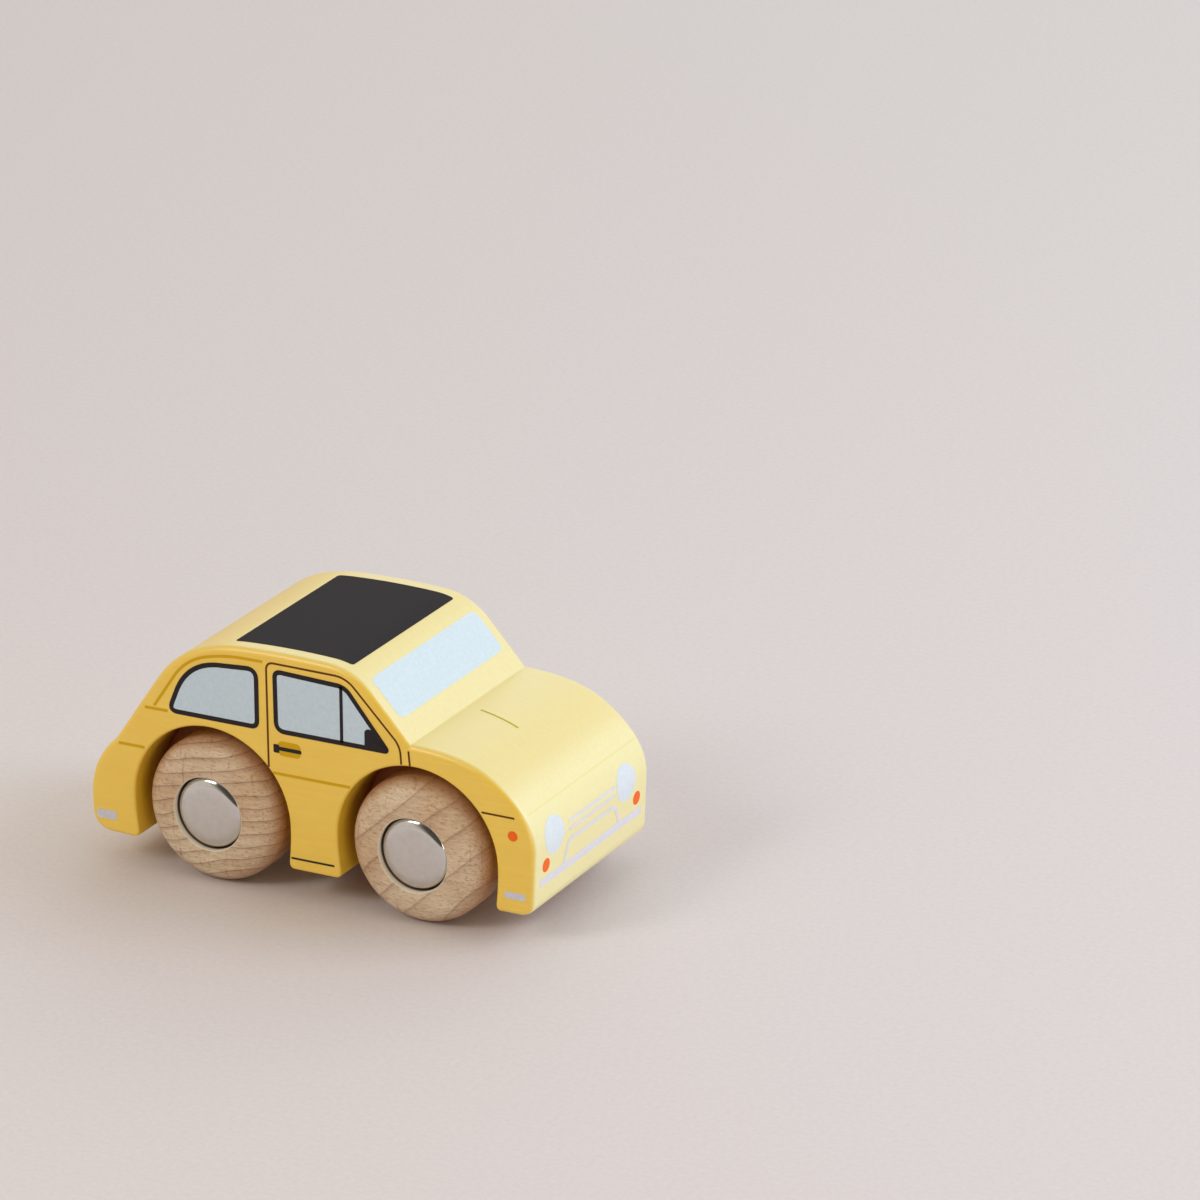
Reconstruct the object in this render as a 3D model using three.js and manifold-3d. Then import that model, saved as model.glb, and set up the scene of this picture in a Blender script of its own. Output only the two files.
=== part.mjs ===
// A wooden toy car: one shaped and painted block on two steel axles, with four turned
// wooden wheels, plated push-on axle caps with toothed lock discs, axle liners and washers.
// Millimetres, +Z up, +X towards the bonnet, +Y to the car's left, standing on z = 0.
import * as THREE from "three";
import { mergeVertices } from "three/addons/utils/BufferGeometryUtils.js";
import Module from "manifold-3d";

const wasm = await Module();
wasm.setup();

// Plan of the car
const WHEELBASE = 45.8;
const REAR_OVERHANG = 27.9;
const FRONT_OVERHANG = 25.9;
const BODY_WIDTH = 46;
const EDGE_RADIUS = 1.2;

// Heights of the body
const UNDERSIDE_HEIGHT = 6.2;
const BONNET_COVER = 4.3; // wood left over the front arch, at the foot of the windscreen
const CABIN_RISE = 13.85; // from the foot of the windscreen to the top of the roof

// Tail and rear screen
const TAIL_CORNER_RADIUS = 4.8;
const TAIL_UPRIGHT = 7.3; // height of the upright part of the tail, from the underside
const TAIL_SHOULDER_RUN = 6.2; // how far the tail leans in before the rear screen starts
const TAIL_SHOULDER_RISE = 20.2; // from the underside to the start of the rear screen
const TAIL_ROUND_DROP = 5.4; // below the shoulder, where the tail's round turns upright
const REAR_SCREEN_RUN = 10.2;
const REAR_ROUND_DROP = 9.9; // from the roof's top down to the end of the rear screen

// Roof
const ROOF_CROWN = 0.25;
const ROOF_START = 35.7; // from the tail's end to where the roof levels out
const ROOF_END = 18.1; // from the foot of the windscreen back to where the roof turns down

// Windscreen, bonnet and nose
const WINDSCREEN_RUN = 7.5;
const WINDSCREEN_ROUND_DROP = 5.4; // from the roof's top down to the windscreen's flat
const BONNET_LENGTH = 26.7;
const BONNET_BREAK_RUN = 9.3; // from the nose back to where the bonnet turns down
const BONNET_BREAK_DROP = 3.85;
const BONNET_BREAK_SLOPE = 0.65;
const NOSE_RISE = 13.3; // from the underside to the foremost point
const NOSE_TUCK = 0.6; // how far the nose leans back below that point
const NOSE_CORNER_RADIUS = 3.2;

// Wheels
const WHEEL_DIAMETER = 30;
const WHEEL_THICKNESS = 12;
const WHEEL_PROUD = 1.5; // the wheel's face beyond the side of the body
const ARCH_CLEARANCE = 2.65; // between the tread and the wheel arch
const ARCH_FLARE = 0.7; // how far each leg of an arch draws in by the underside
const SHOULDER_RUN = 6; // radial width of the rounded outer shoulder
const SHOULDER_DEPTH = 4.8; // axial depth of that shoulder
const INNER_SHOULDER = 2.4;

// Axles, liners and washers
const AXLE_DIAMETER = 5;
const AXLE_CHAMFER = 0.5;
const LINER_WALL = 1;
const LINER_RECESS = 0.3; // each end of the liner below the floor of the arch
const WASHER_DIAMETER = 10.5;
const WASHER_THICKNESS = 0.8;
const RUNNING_CLEARANCE = 0.1; // radial, round the axle
const LINER_CLEARANCE = 0.1; // radial, in the bore of the body
const SIDE_PLAY = 0.2; // between faces that rub: arch floor, washer, wheel, cap

// Push-on caps and their lock discs
const CAP_DIAMETER = 14.8;
const CAP_HEIGHT = 3.6;
const CAP_WALL = 0.5;
const CAP_RIM_RADIUS = 1.5;
const CAP_LIP = 1.3; // the rim rolled in under the lock disc
const CAP_RECESS = 0.3; // the cap's face below the wheel's face
const CAP_CLEARANCE = 0.2; // radial, in the wheel's counterbore
const AXLE_END_GAP = 0.3; // between the axle's end and the inside of the cap
const DISC_THICKNESS = 0.5;
const DISC_CLEARANCE = 0.2;
const DISC_TEETH = 8;
const DISC_TOOTH_DEPTH = 1.8;
const DISC_TOOTH_SHARE = 0.6; // of each tooth's pitch that is metal at its tip

// Smoothness of the solids
const WHEEL_FACETS = 40;
const CAP_FACETS = 28;
const AXLE_FACETS = 24;
const ARC_STEPS = 5;
const OUTLINE_STEPS = 8;
const ARCH_STEPS = 15; // curveSegments of an arc, which has twice as many chords

// Places worked out from the sizes above
const bodyLength = REAR_OVERHANG + WHEELBASE + FRONT_OVERHANG;
const tailX = -bodyLength / 2;
const noseX = bodyLength / 2;
const axleX = { rear: tailX + REAR_OVERHANG, front: noseX - FRONT_OVERHANG };
const wheelRadius = WHEEL_DIAMETER / 2;
const axleZ = wheelRadius * Math.cos(Math.PI / WHEEL_FACETS); // a facet of the tread lies on z = 0
const archRadius = wheelRadius + ARCH_CLEARANCE;
const scuttleX = noseX - BONNET_LENGTH;
const scuttleZ = axleZ + archRadius + BONNET_COVER;
const roofZ = scuttleZ + CABIN_RISE;
const sideY = BODY_WIDTH / 2;
const wheelFaceY = sideY + WHEEL_PROUD;
const wheelBackY = wheelFaceY - WHEEL_THICKNESS;
const washerBackY = wheelBackY - SIDE_PLAY - WASHER_THICKNESS;
const archFloorY = washerBackY - SIDE_PLAY;
const axleRadius = AXLE_DIAMETER / 2;
const boreRadius = axleRadius + RUNNING_CLEARANCE;
const linerRadius = boreRadius + LINER_WALL;
const capRadius = CAP_DIAMETER / 2;
const capFaceY = wheelFaceY - CAP_RECESS;
const capRimY = capFaceY - CAP_HEIGHT;
const counterboreRadius = capRadius + CAP_CLEARANCE;
const counterboreY = capRimY - SIDE_PLAY;
const axleHalfLength = capFaceY - CAP_WALL - AXLE_END_GAP;

const paintedWood = { color: 0xeec65a, roughness: 0.55, metalness: 0 };
const bareWood = { color: 0xc8a582, roughness: 0.7, metalness: 0 };
const platedSteel = { color: 0xd8d5d0, roughness: 0.2, metalness: 1 };
const drawnSteel = { color: 0xb4b4b4, roughness: 0.4, metalness: 1 };
const springSteel = { color: 0x8c8c90, roughness: 0.45, metalness: 1 };
const whiteNylon = { color: 0xe9e6dd, roughness: 0.5, metalness: 0 };

function namedMesh(name, geometry, finish) {
  const mesh = new THREE.Mesh(geometry, new THREE.MeshStandardMaterial(finish));
  mesh.name = name;
  return mesh;
}

// Joins and cuts
function toSolid(geometry) {
  const bare = geometry.clone();
  bare.deleteAttribute("normal");
  bare.deleteAttribute("uv");
  const merged = mergeVertices(bare, 1e-4);
  return new wasm.Manifold(
    new wasm.Mesh({
      numProp: 3,
      vertProperties: new Float32Array(merged.attributes.position.array),
      triVerts: new Uint32Array(merged.index.array),
    }),
  );
}

function toGeometry(solid) {
  const { vertProperties, triVerts } = solid.getMesh();
  const geometry = new THREE.BufferGeometry();
  geometry.setAttribute("position", new THREE.BufferAttribute(vertProperties, 3));
  geometry.setIndex(new THREE.BufferAttribute(triVerts, 1));
  const faceted = geometry.toNonIndexed();
  faceted.computeVertexNormals();
  return faceted;
}

// A turned piece about the Y axis. The profile holds [radius, y] pairs, up the outside and
// down the inside. Half a step of turn puts a flat facet at the bottom.
function turned(profile, facets) {
  const points = profile.map(([radius, y]) => new THREE.Vector2(radius, y));
  return new THREE.LatheGeometry(points, facets, Math.PI / facets);
}

// Points of a quarter of an ellipse, from angle 0 to 90 degrees unless other ends are given.
function ellipseArc(centre, radii, from = 0, to = Math.PI / 2) {
  return Array.from({ length: ARC_STEPS + 1 }, (_, step) => {
    const angle = from + ((to - from) * step) / ARC_STEPS;
    return [centre[0] + radii[0] * Math.cos(angle), centre[1] + radii[1] * Math.sin(angle)];
  });
}

// A side-view shape carried along Y from one y to another, with x and z kept as drawn.
function acrossCar(shape, fromY, toY, bevel = 0, curveSegments = OUTLINE_STEPS) {
  const geometry = new THREE.ExtrudeGeometry(shape, {
    depth: toY - fromY - 2 * bevel,
    bevelEnabled: bevel > 0,
    bevelThickness: bevel,
    bevelSize: bevel,
    bevelOffset: -bevel,
    bevelSegments: 4,
    curveSegments,
  });
  geometry.rotateX(Math.PI / 2);
  geometry.translate(0, toY - bevel, 0);
  return geometry;
}

// Where the line through a towards b meets the line through c towards d.
function meet(a, b, c, d) {
  const ab = [b[0] - a[0], b[1] - a[1]];
  const cd = [d[0] - c[0], d[1] - c[1]];
  const share = ((c[0] - a[0]) * cd[1] - (c[1] - a[1]) * cd[0]) / (ab[0] * cd[1] - ab[1] * cd[0]);
  return [a[0] + share * ab[0], a[1] + share * ab[1]];
}

// The side view of the block: tail, rear screen, roof, windscreen, bonnet and nose.
function bodyOutline() {
  const shoulder = [tailX + TAIL_SHOULDER_RUN, UNDERSIDE_HEIGHT + TAIL_SHOULDER_RISE];
  const screenTop = [shoulder[0] + REAR_SCREEN_RUN, roofZ - REAR_ROUND_DROP];
  const roofRear = [tailX + ROOF_START, roofZ - ROOF_CROWN];
  const roofFront = [scuttleX - ROOF_END, roofZ - ROOF_CROWN];
  const crown = [(roofRear[0] + roofFront[0]) / 2, roofZ + ROOF_CROWN];
  const windscreenTop = [scuttleX - WINDSCREEN_RUN, roofZ - WINDSCREEN_ROUND_DROP];
  const scuttle = [scuttleX, scuttleZ];
  const bonnetBreak = [noseX - BONNET_BREAK_RUN, scuttleZ - BONNET_BREAK_DROP];
  const bonnetCrown = [bonnetBreak[0] - BONNET_BREAK_DROP / BONNET_BREAK_SLOPE, scuttleZ];
  const noseTop = [noseX, bonnetBreak[1] - BONNET_BREAK_RUN * BONNET_BREAK_SLOPE];
  const tuckX = noseX - NOSE_TUCK;

  const outline = new THREE.Shape();
  outline.moveTo(tuckX - NOSE_CORNER_RADIUS, UNDERSIDE_HEIGHT);
  outline.quadraticCurveTo(tuckX, UNDERSIDE_HEIGHT, tuckX, UNDERSIDE_HEIGHT + NOSE_CORNER_RADIUS);
  outline.lineTo(noseX, UNDERSIDE_HEIGHT + NOSE_RISE);
  outline.quadraticCurveTo(...noseTop, ...bonnetBreak);
  outline.quadraticCurveTo(...bonnetCrown, ...scuttle);
  outline.lineTo(...windscreenTop);
  outline.quadraticCurveTo(...meet(scuttle, windscreenTop, roofFront, crown), ...roofFront);
  outline.quadraticCurveTo(...crown, ...roofRear);
  outline.quadraticCurveTo(...meet(shoulder, screenTop, roofRear, crown), ...screenTop);
  outline.lineTo(...shoulder);
  outline.quadraticCurveTo(
    tailX,
    shoulder[1] - TAIL_ROUND_DROP,
    tailX,
    UNDERSIDE_HEIGHT + TAIL_UPRIGHT,
  );
  outline.lineTo(tailX, UNDERSIDE_HEIGHT + TAIL_CORNER_RADIUS);
  outline.quadraticCurveTo(
    tailX,
    UNDERSIDE_HEIGHT,
    tailX + TAIL_CORNER_RADIUS,
    UNDERSIDE_HEIGHT,
  );
  return outline;
}

// The cutter for one wheel arch: round over the axle, with legs that draw in towards the underside.
function archCutter(x, side) {
  const footReach = archRadius - ARCH_FLARE;
  const bendZ = (UNDERSIDE_HEIGHT + axleZ) / 2;
  const arch = new THREE.Shape();
  arch.moveTo(x + footReach, 0);
  arch.lineTo(x + footReach, UNDERSIDE_HEIGHT);
  arch.quadraticCurveTo(x + archRadius, bendZ, x + archRadius, axleZ);
  arch.absarc(x, axleZ, archRadius, 0, Math.PI);
  arch.quadraticCurveTo(x - archRadius, bendZ, x - footReach, UNDERSIDE_HEIGHT);
  arch.lineTo(x - footReach, 0);
  const beyondSide = sideY + EDGE_RADIUS;
  const [fromY, toY] = side > 0 ? [archFloorY, beyondSide] : [-beyondSide, -archFloorY];
  return toSolid(acrossCar(arch, fromY, toY, 0, ARCH_STEPS));
}

function axleBoreCutter(x) {
  const radius = linerRadius + LINER_CLEARANCE;
  const cutter = turned([[0, -sideY], [radius, -sideY], [radius, sideY], [0, sideY]], AXLE_FACETS);
  cutter.translate(x, 0, axleZ);
  return toSolid(cutter);
}

function bodyBlock() {
  let block = toSolid(acrossCar(bodyOutline(), -sideY, sideY, EDGE_RADIUS));
  for (const x of Object.values(axleX)) {
    block = block.subtract(axleBoreCutter(x));
    for (const side of [1, -1]) block = block.subtract(archCutter(x, side));
  }
  return toGeometry(block);
}

// Turned pieces, each drawn with its outer face towards +Y and its place on Y in its profile
function wheel() {
  const shoulder = ellipseArc(
    [wheelRadius - SHOULDER_RUN, wheelFaceY - SHOULDER_DEPTH],
    [SHOULDER_RUN, SHOULDER_DEPTH],
  );
  const inner = ellipseArc(
    [wheelRadius - INNER_SHOULDER, wheelBackY + INNER_SHOULDER],
    [INNER_SHOULDER, INNER_SHOULDER],
    -Math.PI / 2,
    0,
  );
  const start = [boreRadius, wheelBackY];
  return turned(
    [
      start,
      ...inner,
      ...shoulder,
      [counterboreRadius, wheelFaceY],
      [counterboreRadius, counterboreY],
      [boreRadius, counterboreY],
      start,
    ],
    WHEEL_FACETS,
  );
}

function hubCap() {
  const innerRadius = capRadius - CAP_WALL;
  const lipRadius = capRadius - CAP_LIP;
  const rim = ellipseArc(
    [capRadius - CAP_RIM_RADIUS, capFaceY - CAP_RIM_RADIUS],
    [CAP_RIM_RADIUS, CAP_RIM_RADIUS],
  );
  const start = [lipRadius, capRimY];
  return turned(
    [
      start,
      [capRadius, capRimY],
      ...rim,
      [0, capFaceY],
      [0, capFaceY - CAP_WALL],
      [capRadius - CAP_RIM_RADIUS, capFaceY - CAP_WALL],
      [innerRadius, capFaceY - CAP_RIM_RADIUS],
      [innerRadius, capRimY + CAP_WALL],
      [lipRadius, capRimY + CAP_WALL],
      start,
    ],
    CAP_FACETS,
  );
}

// A flat spring disc whose teeth bite the axle's end, held behind the cap's rolled lip.
function lockDisc() {
  const tipRadius = boreRadius;
  const rootRadius = tipRadius + DISC_TOOTH_DEPTH;
  const outerRadius = capRadius - CAP_WALL - DISC_CLEARANCE;
  const disc = new THREE.Shape();
  disc.absarc(0, axleZ, outerRadius, 0, 2 * Math.PI);
  const toothed = new THREE.Path();
  const pitch = (2 * Math.PI) / DISC_TEETH;
  for (let tooth = 0; tooth < DISC_TEETH; tooth++) {
    const gapStart = tooth * pitch;
    const gapEnd = gapStart + pitch * (1 - DISC_TOOTH_SHARE);
    const corners = [
      [tipRadius, gapStart],
      [rootRadius, gapStart],
      [rootRadius, gapEnd],
      [tipRadius, gapEnd],
      [tipRadius, (gapEnd + gapStart + pitch) / 2],
    ];
    corners.forEach(([radius, angle], index) => {
      const point = [radius * Math.cos(angle), axleZ + radius * Math.sin(angle)];
      if (tooth === 0 && index === 0) toothed.moveTo(...point);
      else toothed.lineTo(...point);
    });
  }
  disc.holes.push(toothed);
  const fromY = capRimY + CAP_WALL + DISC_CLEARANCE;
  const geometry = acrossCar(disc, fromY, fromY + DISC_THICKNESS, 0, CAP_FACETS / 2);
  geometry.translate(0, 0, -axleZ);
  return geometry;
}

function axleRod() {
  const tip = axleRadius - AXLE_CHAMFER;
  const shoulder = axleHalfLength - AXLE_CHAMFER;
  return turned(
    [
      [0, -axleHalfLength],
      [tip, -axleHalfLength],
      [axleRadius, -shoulder],
      [axleRadius, shoulder],
      [tip, axleHalfLength],
      [0, axleHalfLength],
    ],
    AXLE_FACETS,
  );
}

function ring(innerRadius, outerRadius, fromY, toY) {
  const start = [innerRadius, fromY];
  return turned(
    [start, [outerRadius, fromY], [outerRadius, toY], [innerRadius, toY], start],
    AXLE_FACETS,
  );
}

function axleLiner() {
  const end = archFloorY - LINER_RECESS;
  return ring(boreRadius, linerRadius, -end, end);
}

function washer() {
  return ring(boreRadius, WASHER_DIAMETER / 2, washerBackY, washerBackY + WASHER_THICKNESS);
}

// One axle with what it carries, on its own axis
function axleGroup(end) {
  const group = new THREE.Group();
  group.position.set(axleX[end], 0, axleZ);
  group.add(namedMesh(`${end}_axle`, axleRod(), drawnSteel));
  group.add(namedMesh(`${end}_axle_liner`, axleLiner(), whiteNylon));
  for (const side of ["left", "right"]) {
    const hub = new THREE.Group();
    hub.rotation.z = side === "left" ? 0 : Math.PI;
    hub.add(namedMesh(`${end}_${side}_wheel`, wheel(), bareWood));
    hub.add(namedMesh(`${end}_${side}_washer`, washer(), whiteNylon));
    hub.add(namedMesh(`${end}_${side}_hub_cap`, hubCap(), platedSteel));
    hub.add(namedMesh(`${end}_${side}_lock_disc`, lockDisc(), springSteel));
    group.add(hub);
  }
  return group;
}

const car = new THREE.Group();
car.name = "wooden_toy_car";
car.add(namedMesh("body_block", bodyBlock(), paintedWood));
car.add(axleGroup("front"), axleGroup("rear"));

export default car;
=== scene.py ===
"""Looks of a wooden toy car: the painted and printed block, the turned wheels, the plated caps,
and the axles, liners and washers between them. Shapes are worked out in millimetres."""
import math

import bmesh
import bpy
import numpy as np
from mathutils import Matrix, Vector


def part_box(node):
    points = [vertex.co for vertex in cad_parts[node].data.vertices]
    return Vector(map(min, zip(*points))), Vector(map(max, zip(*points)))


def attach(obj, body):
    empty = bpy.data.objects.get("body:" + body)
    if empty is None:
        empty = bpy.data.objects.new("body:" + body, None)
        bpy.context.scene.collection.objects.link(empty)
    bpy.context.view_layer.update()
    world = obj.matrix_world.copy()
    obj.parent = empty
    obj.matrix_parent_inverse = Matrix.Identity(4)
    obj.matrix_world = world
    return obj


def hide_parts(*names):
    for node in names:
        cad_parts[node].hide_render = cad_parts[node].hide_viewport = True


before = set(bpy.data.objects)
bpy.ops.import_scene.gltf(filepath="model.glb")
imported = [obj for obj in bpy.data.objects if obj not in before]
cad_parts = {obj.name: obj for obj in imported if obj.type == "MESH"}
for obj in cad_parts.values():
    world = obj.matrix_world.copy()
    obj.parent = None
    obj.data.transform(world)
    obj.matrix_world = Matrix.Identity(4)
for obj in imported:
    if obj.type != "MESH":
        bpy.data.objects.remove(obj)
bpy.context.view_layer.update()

MM = 0.001
ENDS = ("front", "rear")
SIDES = {"left": 1, "right": -1}


def node_box(node):
    """Lowest and highest corner of a solid, in millimetres."""
    low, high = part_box(node)
    return np.array(low) / MM, np.array(high) / MM


# Places taken from the frame
body_low, body_high = node_box("body_block")
tail_x, nose_x = body_low[0], body_high[0]
underside_z, roof_z = body_low[2], body_high[2]
side_y = body_high[1]
wheel_box = {end: node_box(f"{end}_left_wheel") for end in ENDS}
axle_x = {end: float(low[0] + high[0]) / 2 for end, (low, high) in wheel_box.items()}
axle_z = float(wheel_box["front"][0][2] + wheel_box["front"][1][2]) / 2
wheel_back_y, wheel_face_y = (float(corner[1]) for corner in wheel_box["front"])
washer_back_y = float(node_box("front_left_washer")[0][1])
liner_low, liner_high = node_box("front_axle_liner")
cap_foot_y, cap_face_y = (float(corner[1]) for corner in node_box("front_left_hub_cap"))

# Sizes of the block, as it is cut
EDGE_RADIUS = 1.2  # of the edges along the sides
EDGE_STEPS = 8
EDGE_BLEND = 9  # points over which one edge radius runs into the next
ARCH_EDGE = 0.6
ARCH_CLEARANCE = 2.65
ARCH_FLARE = 0.7  # how far each leg of an arch draws in by the underside
ARCH_FOOT = 1.5
ARCH_MIDDLE = 16.0  # half way in, from the middle of the car
BORE_CLEARANCE = 0.1
BORE_OVERRUN = 1
SIDE_PLAY = 0.2
SCUTTLE_ROUND = 0.2
CABIN_RISE = 13.85
TAIL_CORNER = 4.8
TAIL_UPRIGHT = 7.3
TAIL_SHOULDER = (6.2, 20.2)
TAIL_ROUND_DROP = 5.4
REAR_SCREEN_RUN = 10.2
REAR_ROUND_DROP = 9.9
ROOF_CROWN = 0.25
ROOF_START = 35.7
ROOF_END = 18.1
WINDSCREEN_RUN = 7.5
WINDSCREEN_ROUND_DROP = 5.4
BONNET_LENGTH = 26.7
BONNET_BREAK = (9.3, 3.85)
BONNET_BREAK_SLOPE = 0.65
NOSE_RISE = 13.3
NOSE_TUCK = 0.6
NOSE_CORNER = 3.2

# Sizes of the wheels and caps
SHOULDER = (6.0, 4.8)
INNER_SHOULDER = 2.4
COUNTERBORE_RADIUS = 7.6
COUNTERBORE_CHAMFER = 0.2
AXLE_HOLE_RADIUS = 2.6
CAP_RADIUS = 7.4
CAP_RIM = (2.6, 1.5)
CAP_WALL = 0.5
CAP_LIP = 1.3
CAP_FOOT_CHAMFER = 0.2
TURN_STEPS = 128

arch_radius = axle_z + ARCH_CLEARANCE
arch_floor_y = washer_back_y - SIDE_PLAY

# Limits for meshes
SAME_POINT = 1e-6  # millimetres between two points that count as one
MERGE_DISTANCE = 1e-8  # the same for a mesh, in metres
SHARP_DEGREES = 38  # edges with a sharper bend than this stay hard


# Curves and meshes
def bezier(start, control, end, steps=20):
    """Points of a quadratic curve: (1-t)^2 of its start, 2t(1-t) of its control and t^2 of its end."""
    t = np.linspace(0, 1, steps + 1)[:, None]
    start, control, end = (np.array(p, float) for p in (start, control, end))
    return (1 - t) ** 2 * start + 2 * t * (1 - t) * control + t**2 * end


def ellipse_arc(centre, radii, start, end, steps=12):
    """Points at the centre plus (first radius times cosine, second times sine) of an angle in degrees."""
    angle = np.radians(np.linspace(start, end, steps + 1))[:, None]
    return np.array(centre) + np.array(radii) * np.hstack([np.cos(angle), np.sin(angle)])


def meet(a, b, c, d):
    """Where the line through a and b crosses the line through c and d."""
    a, b, c, d = (np.array(p, float) for p in (a, b, c, d))
    ab, cd, ac = b - a, d - c, c - a
    share = (ac[0] * cd[1] - ac[1] * cd[0]) / (ab[0] * cd[1] - ab[1] * cd[0])
    return a + share * ab


def without_repeats(points, closed=True):
    """The points with each one dropped that lies on the one before it."""
    step = np.linalg.norm(points - np.roll(points, 1, axis=0), axis=1)
    keep = step > SAME_POINT
    if not closed:
        keep[0] = True
    return points[keep]


def left_normals(points, closed):
    """Unit normals to the left of the way along a path, from the chord between each point's neighbours."""
    if closed:
        chord = np.roll(points, -1, axis=0) - np.roll(points, 1, axis=0)
    else:
        chord = np.gradient(points, axis=0)
    chord /= np.linalg.norm(chord, axis=1)[:, None]
    return np.column_stack([-chord[:, 1], chord[:, 0]])


def grid_faces(rows, columns, close_rows=False, close_columns=False):
    """Quads between the neighbours of a grid whose point (row, column) has number row * columns + column."""
    row = np.arange(rows if close_rows else rows - 1)[:, None]
    column = np.arange(columns if close_columns else columns - 1)[None, :]
    next_row, next_column = (row + 1) % rows, (column + 1) % columns
    corners = [
        row * columns + column,
        row * columns + next_column,
        next_row * columns + next_column,
        next_row * columns + column,
    ]
    return np.stack(corners, axis=-1).reshape(-1, 4)


def add_piece(name, points, faces, material, close=True, marks=()):
    """A mesh object at the origin, from points in millimetres. A closed one gets its doubles merged
    and its faces turned outwards. Marks are numbers kept at the points for the material to read."""
    mesh = bpy.data.meshes.new(name)
    faces = [list(map(int, face)) for face in faces]
    mesh.from_pydata((np.asarray(points, float).reshape(-1, 3) * MM).tolist(), [], faces)
    for mark, values in dict(marks).items():
        mesh.attributes.new(mark, "FLOAT", "POINT").data.foreach_set("value", np.ravel(values))
    shape = bmesh.new()
    shape.from_mesh(mesh)
    bmesh.ops.remove_doubles(shape, verts=shape.verts, dist=MERGE_DISTANCE)
    if close:
        bmesh.ops.recalc_face_normals(shape, faces=shape.faces)
    shape.to_mesh(mesh)
    shape.free()
    mesh.materials.append(material)
    piece = bpy.data.objects.new(name, mesh)
    bpy.context.scene.collection.objects.link(piece)
    return piece


def smooth(piece):
    """Smooth shading with hard edges kept, and normals that follow the large faces."""
    piece.data.polygons.foreach_set("use_smooth", np.ones(len(piece.data.polygons), bool))
    piece.data.set_sharp_from_angle(angle=math.radians(SHARP_DEGREES))
    weighted = piece.modifiers.new("even_normals", "WEIGHTED_NORMAL")
    weighted.keep_sharp = True
    return piece


def mount(piece, body, slot, *nodes):
    """Rides the piece on its body and hides the solids that it stands for."""
    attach(piece, body)
    if nodes:
        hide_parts(*nodes)
    return piece


# Materials
NOISE_RANGE = (0.3, 0.7)  # where nearly all values of a noise pattern lie
MIX_SHARE, MIX_FIRST, MIX_SECOND, MIX_RESULT = 0, 6, 7, 2  # sockets of a Mix node for colours
WHITE = (255, 255, 255)


def shader(name):
    """A new material, its node tree and its shader."""
    material = bpy.data.materials.new(name)
    material.use_nodes = True
    return material, material.node_tree, material.node_tree.nodes["Principled BSDF"]


def feed(tree, socket, value):
    """Links a socket's value to an input, or sets a number on it."""
    if isinstance(value, bpy.types.NodeSocket):
        tree.links.new(value, socket)
    else:
        socket.default_value = value


def add_node(tree, kind, settings=(), **inputs):
    """A node with its settings and its inputs given by name."""
    node = tree.nodes.new(kind)
    for key, value in dict(settings).items():
        setattr(node, key, value)
    for key, value in inputs.items():
        feed(tree, node.inputs[key.replace("_", " ")], value)
    return node


def object_points(tree, scale=(1, 1, 1), turn=(0, 0, 0), move=(0, 0, 0)):
    """Object coordinates, moved, turned and stretched by two Mapping nodes."""
    source = add_node(tree, "ShaderNodeTexCoord")
    moved = add_node(tree, "ShaderNodeMapping", Vector=source.outputs["Object"], Location=move)
    turned = add_node(
        tree, "ShaderNodeMapping", Vector=moved.outputs["Vector"], Rotation=turn, Scale=scale
    )
    return turned.outputs["Vector"]


def noise(tree, points, scale=1, detail=4.0, roughness=0.55):
    """The value of a noise pattern."""
    node = add_node(
        tree, "ShaderNodeTexNoise", Vector=points, Scale=scale, Detail=detail, Roughness=roughness
    )
    return node.outputs["Fac"]


def from_srgb(red, green, blue):
    """Linear colour of an sRGB colour given in 0 to 255."""
    value = np.array([red, green, blue]) / 255
    return tuple(np.where(value <= 0.04045, value / 12.92, ((value + 0.055) / 1.055) ** 2.4).tolist())


def ramp(tree, value, *stops):
    """A colour ramp with stops of a place and a linear colour."""
    node = add_node(tree, "ShaderNodeValToRGB", Fac=value)
    elements = node.color_ramp.elements
    while len(elements) < len(stops):
        elements.new(0.5)
    for element, (place, colour) in zip(elements, stops):
        element.position = place
        element.color = (*colour, 1)
    return node.outputs["Color"]


def tint(tree, value, *stops):
    """A colour ramp with stops of a place and an sRGB colour."""
    return ramp(tree, value, *((place, from_srgb(*colour)) for place, colour in stops))


def map_range(tree, value, source, target=(0.0, 1.0), kind="LINEAR"):
    """A value carried from the source's two ends to the target's two ends, and held there."""
    node = add_node(
        tree,
        "ShaderNodeMapRange",
        {"interpolation_type": kind},
        Value=value,
        From_Min=source[0],
        From_Max=source[1],
        To_Min=target[0],
        To_Max=target[1],
    )
    return node.outputs["Result"]


def mix(tree, share, first, second, blend="MIX"):
    """Two colours mixed by a share. A colour that isn't a socket is an sRGB one."""
    node = tree.nodes.new("ShaderNodeMix")
    node.data_type = "RGBA"
    node.blend_type = blend
    feed(tree, node.inputs[MIX_SHARE], share)
    for socket, colour in ((MIX_FIRST, first), (MIX_SECOND, second)):
        fixed = not isinstance(colour, bpy.types.NodeSocket)
        feed(tree, node.inputs[socket], (*from_srgb(*colour), 1) if fixed else colour)
    return node.outputs[MIX_RESULT]


def multiply_colour(tree, share, first, second):
    """The first colour darkened by the second, by a share."""
    return mix(tree, share, first, second, "MULTIPLY")


def bloom(surface, weight):
    """The pale veil of a satin lacquer seen at a low angle."""
    surface.inputs["Coat Weight"].default_value = weight
    surface.inputs["Coat Roughness"].default_value = 0.42
    surface.inputs["Coat IOR"].default_value = 1.8


def mark(tree, name):
    """A number kept at the mesh's points."""
    return add_node(tree, "ShaderNodeAttribute", {"attribute_name": name}).outputs["Fac"]


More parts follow.
